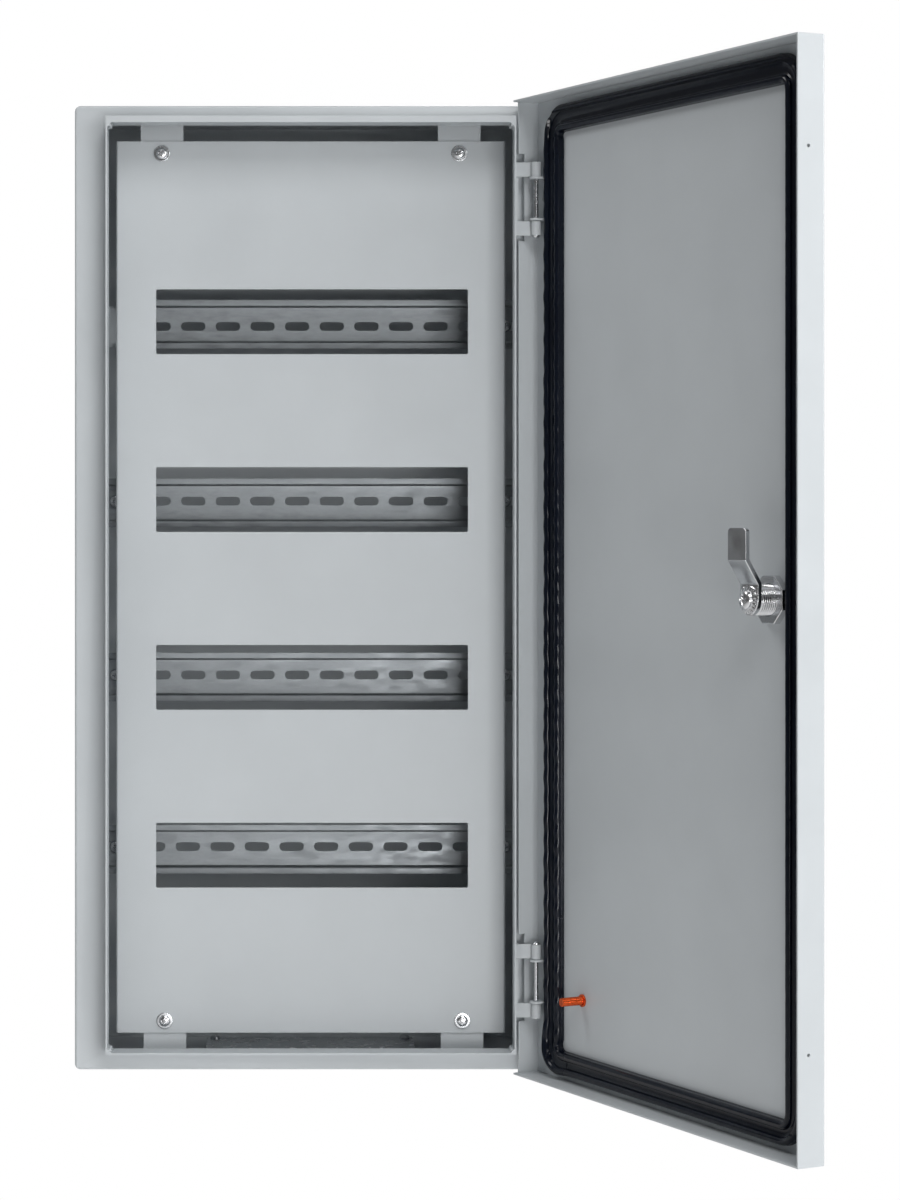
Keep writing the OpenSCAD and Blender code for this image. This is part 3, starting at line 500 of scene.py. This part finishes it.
def sponge_rubber():
    """Near-black rubber skin with a faint blue sheen and shallow moulding ripples."""
    finish, tree, shader = new_finish("sponge_rubber")
    shade = noise(tree, RUBBER_PATCHES, 3)
    lighter = tuple(RUBBER_LIGHTER * c for c in RUBBER)
    tree.links.new(ramp(tree, shade, RUBBER, lighter), shader.inputs["Base Color"])
    tree.links.new(ramp(tree, shade, RUBBER_GLOSSY, RUBBER_MATTE), shader.inputs["Roughness"])
    ripples = bump(tree, noise(tree, RIPPLE_WAVES, 2), RIPPLE_STRENGTH, RIPPLE_DEPTH)
    tree.links.new(ripples, shader.inputs["Normal"])
    shader.inputs["Specular IOR Level"].default_value = RUBBER_SPECULAR
    return finish


def weld_stud(length, count=32):
    """Grids of a weld stud on its flange: a threaded rod and a ring with eased edges."""
    around = circle(count)
    swing = np.linspace(0, math.pi / 2, 8)[:, None]
    rim = turned(STUD_FLANGE_R - STUD_EASE + STUD_EASE * np.sin(swing),
                 STUD_FLANGE_T - STUD_EASE + STUD_EASE * np.cos(swing), around)
    top = turned(0 * around, STUD_FLANGE_T, around)
    foot = turned(np.array([[STUD_FLANGE_R], [0]]), 0, around)
    rod = threaded_rod(STUD_R, STUD_FLANGE_T / 2, length, STUD_PITCH, STUD_DEPTH, around)
    return [np.concatenate([top, rim, foot]), rod]


rubber = sponge_rubber()
copper = plated("copper_plate", COPPER_PLATE, rough=0.24, scale=80.0, depth=0.003, dull=0.94)
deburred("gland_plate", bright_zinc, "zinc_plate", "cabinet")
deburred("gland_gasket", rubber, "rubber", "cabinet")
screw_set("gland_screws", bright_zinc, "zinc_plate", GLAND_HEAD_H, GLAND_SHANK_R, 32, upright=True)
stud_low, stud_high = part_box("earth_stud")
stud_foot = ((stud_low[0] + stud_high[0]) / 2, stud_high[1], (stud_low[2] + stud_high[2]) / 2)
stud = weld_stud(stud_high[1] - stud_low[1])
stud_grids = [set_at(grid, FACES_FRONT, stud_foot) for grid in stud]
hung(skin("earth_stud_threaded", *stud_grids), copper, "copper", "cabinet", "earth_stud")
deburred("earth_washer", bright_zinc, "zinc_plate", "cabinet", ease=0.2 * MM)
deburred("earth_nut", bright_zinc, "zinc_plate", "cabinet", ease=0.4 * MM, steps=3)

# ---- Hinges -----------------------------------------------------------------------
# Two painted arms on the lip, each with two rolled knuckles, and the painted channels on the
# door that turn between them on chrome pins with domed heads.
for arm in ("hinge_arm_upper", "hinge_arm_lower"):
    deburred(arm, paint, "cabinet_paint", "cabinet", ease=0.3 * MM, steps=3)
for pin in ("hinge_pin_upper", "hinge_pin_lower"):
    deburred(pin, bright_zinc, "chrome", "cabinet", ease=0.2 * MM)
for channel in ("door_hinge_bracket_upper", "door_hinge_bracket_lower"):
    deburred(channel, paint, "door_paint", "door", ease=0.3 * MM, steps=3)

# ---- Door leaf ----------------------------------------------------------------------
# A tray of powder-coated sheet with folded edges, hung on the two pins, and a copper-plated
# stud inside it. What is made new on the door is worked out shut and then swung open.
SEAL_GAP, DOOR_SHEET, DOOR_OVERLAP = 5 * MM, 1.2 * MM, 2.5 * MM
HINGE = next(joint for joint in frame["joints"] if joint["name"] == "door_swing")
DOOR_OPEN = math.radians(-HINGE["range_deg"][0])
DOOR_INSIDE = LIP_FRONT - SEAL_GAP
DOOR_OUTSIDE = DOOR_INSIDE - DOOR_SHEET


def opened(grid):
    """Swings points of the shut door about the hinge pins to where the door stands open."""
    x, y = grid[..., 0] - HINGE["pos_m"][0], grid[..., 1] - HINGE["pos_m"][1]
    c, s = math.cos(DOOR_OPEN), math.sin(DOOR_OPEN)
    return np.stack([HINGE["pos_m"][0] + c * x - s * y, HINGE["pos_m"][1] + s * x + c * y,
                     grid[..., 2]], -1)


deburred("door_leaf", paint, "door_paint", "door")
STUD_INSET, STUD_RISE, STUD_LENGTH = 60.5 * MM, 58.65 * MM, 17 * MM
door_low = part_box("door_leaf")[0]
DOOR_X = body_high[0] + DOOR_OVERLAP
door_stud_foot = (DOOR_X - STUD_INSET, DOOR_INSIDE, door_low[2] + STUD_RISE)
door_stud = [opened(set_at(grid, FACES_BACK, door_stud_foot)) for grid in weld_stud(STUD_LENGTH)]
hung(skin("door_earth_stud_threaded", *door_stud), copper, "copper", "door", "door_earth_stud")

# ---- Door gasket --------------------------------------------------------------------
# Black rubber strip bonded round the inside of the door: two round ridges with a valley
# for the lip between them. Its ridges wander a little on the hinge side and hardly elsewhere,
# and the outer ridge bulges where the strip is bent round the lower corner at the hinges.
GASKET_H, RIDGE_R, RIDGE_EDGE = 6 * MM, 2.6 * MM, 0.3 * MM
GASKET_DROP, GASKET_CORNER = 0.9 * MM, 14 * MM
FOOT_H, NECK_H, NECK_OUT = 0.9 * MM, 1.9 * MM, 0.1 * MM
RIDGE_FROM, RIDGE_TO, VALLEY_STEPS = -18, 183, 6
INNER_HALF = {"top": 8.9 * MM, "bottom": 6.5 * MM, "hinge": 10.6 * MM, "free": 7.5 * MM}
OUTER_HALF = {"top": 10.2 * MM, "bottom": 9.4 * MM, "hinge": 8.75 * MM, "free": 8.75 * MM}
VALLEY_H, PRESSED_H, PRESS_CLEAR = 2.6 * MM, 4.2 * MM, 0.9 * MM
WANDER, SWELL, CALM_SHARE, CORNER_TUCK = 0.13 * MM, 0.04, 0.12, 0.10
BULGE_OUT, BULGE_UP, BULGE_REACH = 2.6 * MM, 2.4 * MM, 15 * MM
STRIP_JOINT_X, STRIP_JOINT_W = 122 * MM, 0.35 * MM
JOINT_SPREAD, JOINT_SINK = 0.6, 0.12
STRIP_STEP, STRIP_BEND = 2 * MM, 33
# The outer and the inner ridge: the way each lies, its half widths, its waves, their phase.
RIDGES = ((1, OUTER_HALF, (23, 61, 127), 0.7), (-1, INNER_HALF, (31, 83, 171), 1.9))


def strip_line():
    """Middle line of the gasket on the shut door: points, outward directions, arc length.

    A rectangle over the middle of the lip's sheet with round corners, anticlockwise from
    the lower corner at the hinges. The bottom run has three close points at the strip joint.
    """
    half = LIP_X - SHEET / 2 - GASKET_CORNER
    top = LIP_WEB - SHEET / 2 - GASKET_DROP - GASKET_CORNER
    low = LIP_BOTTOM + SHEET / 2 - GASKET_DROP + GASKET_CORNER
    spots = [(half, low, -90), (half, top, 0), (-half, top, 90), (-half, low, 180)]
    points, outward = [], []
    for (x, z, start), (next_x, next_z, turn) in zip(spots, spots[1:] + spots[:1]):
        bend = np.radians(start + np.linspace(0, 90, STRIP_BEND))
        way = np.stack([np.cos(bend), np.sin(bend)], -1)
        points.append(np.array([x, z]) + GASKET_CORNER * way)
        outward.append(way)
        near, far = points[-1][-1], np.array([next_x, next_z]) + GASKET_CORNER * way[-1]
        run = np.linalg.norm(far - near)
        share = np.linspace(0, 1, int(run / STRIP_STEP))[1:-1]
        if start == 180:
            joint = (STRIP_JOINT_X - near[0]) / (far[0] - near[0])
            share = np.sort(np.append(share, joint + np.array([-1, 0, 1]) * STRIP_JOINT_W / run))
        points.append(near + share[:, None] * (far - near))
        outward.append(np.repeat(way[-1:], len(share), 0))
    points, outward = np.concatenate(points), np.concatenate(outward)
    length = np.append(0, np.cumsum(np.linalg.norm(np.diff(points, axis=0), axis=1)))
    return points, outward, length


def half_section(count=20):
    """One side of the strip's section, from its outer foot to the valley's middle.

    Columns: distance from the ridge's middle, height, and 1 where a point keeps its place
    beside the ridge or less where it slides in towards the middle of the strip.
    """
    bend = np.radians(np.linspace(RIDGE_FROM, RIDGE_TO, count))
    ridge = np.stack([RIDGE_R * np.cos(bend), GASKET_H - RIDGE_R + RIDGE_R * np.sin(bend),
                      np.ones(count)], -1)
    foot = [(RIDGE_R + RIDGE_EDGE, 0, 1), (RIDGE_R + RIDGE_EDGE, FOOT_H, 1),
            (RIDGE_R + NECK_OUT, NECK_H, 1)]
    end = ridge[-1]
    fall = np.linspace(0, 1, VALLEY_STEPS)[1:]
    valley = [(end[0], VALLEY_H + (end[1] - VALLEY_H) * (1 - f) ** 2, 1 - f) for f in fall]
    return np.concatenate([foot, ridge, valley])


def by_side(outward, halves):
    """Half width of the strip where it faces `outward`, blended round the corners."""
    x, z = outward[:, 0], outward[:, 1]
    return (halves["hinge"] * np.maximum(x, 0) ** 2 + halves["free"] * np.maximum(-x, 0) ** 2
            + halves["top"] * np.maximum(z, 0) ** 2 + halves["bottom"] * np.maximum(-z, 0) ** 2)


def wander(length, waves, phase):
    """Sum of three slow waves along the closed strip, each a whole number of times round."""
    turn = 2 * math.pi * length / length[-1]
    return sum(np.sin(count * turn + phase * count) / (1 + n) for n, count in enumerate(waves))


def gasket_grid():
    """The section carried along the strip line; across is the way out, height is +Y.

    `bend` is 1 in the middle of a corner and 0 on the straights, `bulge` falls off from the
    lower corner at the hinges, and `loose` is 1 on the hinge side and small elsewhere.
    """
    points, outward, length = strip_line()
    bend = 4 * (outward[:, 0] * outward[:, 1]) ** 2
    away = points - np.array([points[:, 0].max(), points[:, 1].min()])
    bulge = np.exp(-(np.linalg.norm(away, axis=1) / BULGE_REACH) ** 2)
    from_joint = (points[:, 0] - STRIP_JOINT_X) / (JOINT_SPREAD * STRIP_JOINT_W)
    joint = np.exp(-from_joint ** 2) * (outward[:, 1] < -0.9)
    loose = CALM_SHARE + (1 - CALM_SHARE) * np.maximum(outward[:, 0], 0) ** 4
    section = half_section()
    lifted = np.clip(section[:, 1] / GASKET_H, 0, 1)
    sides = []
    for way, halves, waves, phase in RIDGES:
        width = by_side(outward, halves) * (1 - CORNER_TUCK * bend * (way < 0))
        middle = width - RIDGE_R - RIDGE_EDGE
        shift = WANDER * loose * wander(length, waves, phase) + BULGE_OUT * bulge * (way > 0)
        across = middle[:, None] * section[:, 2] + section[:, 0] * section[:, 2]
        across = across + shift[:, None] * lifted * section[:, 2]
        grow = (SWELL * loose * wander(length, waves[::-1], phase + 1)
                + BULGE_UP / GASKET_H * bulge * (way > 0))
        height = section[:, 1] * (1 + grow[:, None]) * (1 - JOINT_SINK * joint[:, None])
        sides.append((way * across, height))
    across = np.concatenate([sides[0][0], sides[1][0][:, ::-1]], 1)
    height = np.concatenate([sides[0][1], sides[1][1][:, ::-1]], 1)
    across = np.append(across, across[:, :1], 1)
    height = np.append(height, height[:, :1], 1)
    x = points[:, :1] + outward[:, :1] * across
    z = points[:, 1:] + outward[:, 1:] * across
    in_lip = ((abs(x) < LIP_X + PRESS_CLEAR) & (z < LIP_TOP + PRESS_CLEAR)
              & (z > LIP_BOTTOM - PRESS_CLEAR))
    in_mouth = ((abs(x) < LIP_X - SHEET - PRESS_CLEAR) & (z < LIP_WEB - SHEET - PRESS_CLEAR)
                & (z > LIP_BOTTOM + SHEET + PRESS_CLEAR))
    height = np.where(in_lip & ~in_mouth, np.minimum(height, PRESSED_H), height)
    grid = np.stack([x, DOOR_INSIDE + height, z], -1)
    return np.concatenate([grid, grid[:1]])


gasket = skin("door_gasket_strip", opened(gasket_grid()))
hung(gasket, rubber, "rubber", "door", "door_gasket")

# ---- Cam lock --------------------------------------------------------------------------
# A chrome quarter-turn lock: a threaded housing with two flats, clamped by an eight-sided
# nut, and a core that carries the cranked cam under a toothed washer and a pan-head screw.
LOCK_INSET, LOCK_Z = 50.5 * MM, -0.5 * MM
LOCK_R, LOCK_LEN, LOCK_BORE = 9.75 * MM, 17 * MM, 6.05 * MM
LOCK_FLAT, NUT_TOP = 9.2 * MM, 6.2 * MM
FLANGE_R, FLANGE_T, FLANGE_EDGE, SEAL_T = 14.5 * MM, 4 * MM, 1.5 * MM, 1 * MM
LOCK_PITCH, LOCK_THREAD, THREAD_START = 1.5 * MM, 0.85 * MM, 0.1 * MM
LOCK_SIDES, LOCK_STEPS, LEAST_COSINE = 128, 168, 1e-3
CAM_T, CAM_GAP, STAR_R, STAR_T = 3 * MM, 0.1 * MM, 8.75 * MM, 1.6 * MM
STAR_TEETH, TOOTH_DEPTH, STAR_BORE = 20, 0.35 * MM, 2.55 * MM
STAR_STEPS, STAR_CONE = 16, 0.35
CAM_SCREW_R, CAM_HEAD_R, CAM_HEAD_H, CAM_SCREW_GRIP = 2.5 * MM, 6 * MM, 3.2 * MM, 8 * MM
lock_at = (-DOOR_X + LOCK_INSET, DOOR_OUTSIDE, LOCK_Z)


def on_lock(grid, up=0.0):
    """Sets a grid on the lock's axis, `up` behind the door's outer face, on the open door."""
    return opened(set_at(grid + np.array([0, 0, up]), FACES_BACK, lock_at))


def housing_grid():
    """Flange, threaded barrel with two flats, end face and bore as one closed turned part."""
    around = circle(LOCK_SIDES)
    front = -SEAL_T - FLANGE_T
    swing = np.linspace(0, math.pi / 2, 9)[:, None]
    edge = turned(FLANGE_R - FLANGE_EDGE + FLANGE_EDGE * np.sin(swing),
                  front + FLANGE_EDGE - FLANGE_EDGE * np.cos(swing), around)
    shoulder = turned(np.array([[FLANGE_R], [LOCK_R]]), np.array([[-SEAL_T], [-SEAL_T]]), around)
    height = np.linspace(-SEAL_T + THREAD_START, LOCK_LEN, LOCK_STEPS)[:, None]
    fade = np.clip((LOCK_LEN - height) / LOCK_THREAD, 0, 1)
    flank = thread(LOCK_R, LOCK_THREAD * fade, LOCK_PITCH, height, around) - LOCK_THREAD * (1 - fade)
    flat = LOCK_FLAT / np.maximum(abs(np.cos(around)), LEAST_COSINE)
    barrel = turned(np.where(height > NUT_TOP, np.minimum(flank, flat), flank), height, around)
    bore = turned(np.array([[LOCK_BORE], [LOCK_BORE]]), np.array([[LOCK_LEN], [front]]), around)
    start = turned(LOCK_BORE + 0 * around, front, around)
    return np.concatenate([start, edge, shoulder, barrel, bore])


def star_washer_grid():
    """Washer whose upper face rises and falls in teeth round its rim."""
    around = circle(STAR_TEETH * 8)
    across = np.linspace(STAR_BORE, STAR_R, STAR_STEPS)
    radius = np.concatenate([[STAR_BORE], across, [STAR_R, STAR_BORE]])[:, None]
    top = np.concatenate([[0], np.ones(STAR_STEPS), [0, 0]])[:, None]
    rim = np.clip((radius - CAM_HEAD_R) / (STAR_R - CAM_HEAD_R), 0, 1)
    teeth = TOOTH_DEPTH * rim * (0.5 + 0.5 * np.sign(np.sin(STAR_TEETH * around)))
    cone = STAR_CONE * STAR_T * rim
    return turned(radius, top * (STAR_T - cone - teeth), around)


housing = skin("lock_housing_threaded", on_lock(housing_grid()))
hung(housing, nickel, "chrome", "door", "lock_housing")
deburred("lock_seal", rubber, "rubber", "door", ease=0.2 * MM)
deburred("lock_nut", nickel, "chrome", "door", ease=0.7 * MM, steps=3)
deburred("lock_core", nickel, "chrome", "lock_rotor", ease=0.2 * MM)
deburred("lock_cam", nickel, "chrome", "lock_rotor", ease=0.5 * MM, steps=3)
cam_top = LOCK_LEN + CAM_GAP + CAM_T
star = skin("cam_washer_toothed", on_lock(star_washer_grid(), cam_top))
hung(star, nickel, "chrome", "lock_rotor", "cam_washer")
cam_screw_grids = pan_screw(CAM_HEAD_R, CAM_HEAD_H, CAM_SCREW_R, CAM_SCREW_GRIP + STAR_T, 80)
cam_screw = skin("cam_screw_cut", *[on_lock(grid, cam_top + STAR_T) for grid in cam_screw_grids])
hung(cam_screw, nickel, "chrome", "lock_rotor", "cam_screw")
